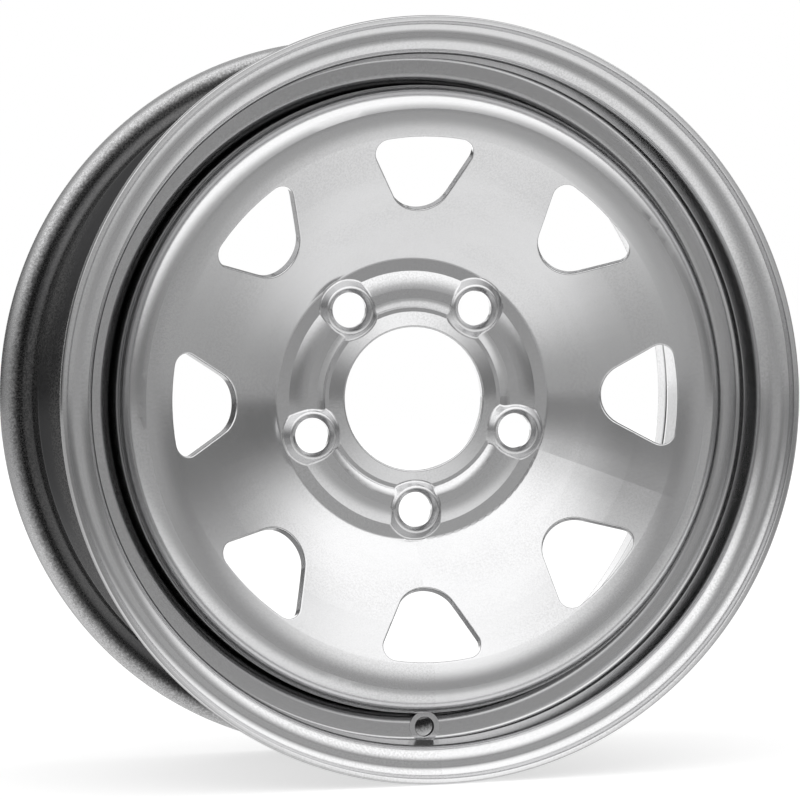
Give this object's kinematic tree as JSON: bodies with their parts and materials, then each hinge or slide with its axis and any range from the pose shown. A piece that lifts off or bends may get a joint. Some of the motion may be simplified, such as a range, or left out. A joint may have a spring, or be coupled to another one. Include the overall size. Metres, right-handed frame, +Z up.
{
  "type": "pressed steel wheel",
  "caption": "Pressed steel road wheel: a rolled drop-centre rim with a dished, windowed disc welded inside it, and bolt holes round a centre bore.",
  "frame": {"origin": "on the wheel's axis, in the rim's centre plane", "axes": "+Y along the axis toward the vehicle (inboard), so the outboard face looks toward -Y; +Z up, opposite the valve hole"},
  "size_m": [0.4406, 0.2034, 0.4406],
  "materials": {
    "rim_paint": "satin silver paint over steel",
    "disc_paint": "satin silver paint over steel",
    "bead_paint": "satin silver paint over weld"
  },
  "bodies": {
    "root": {"rim": "rim_paint", "wheel_disc": "disc_paint", "disc_weld_beads": "bead_paint"}
  },
  "joints": []
}
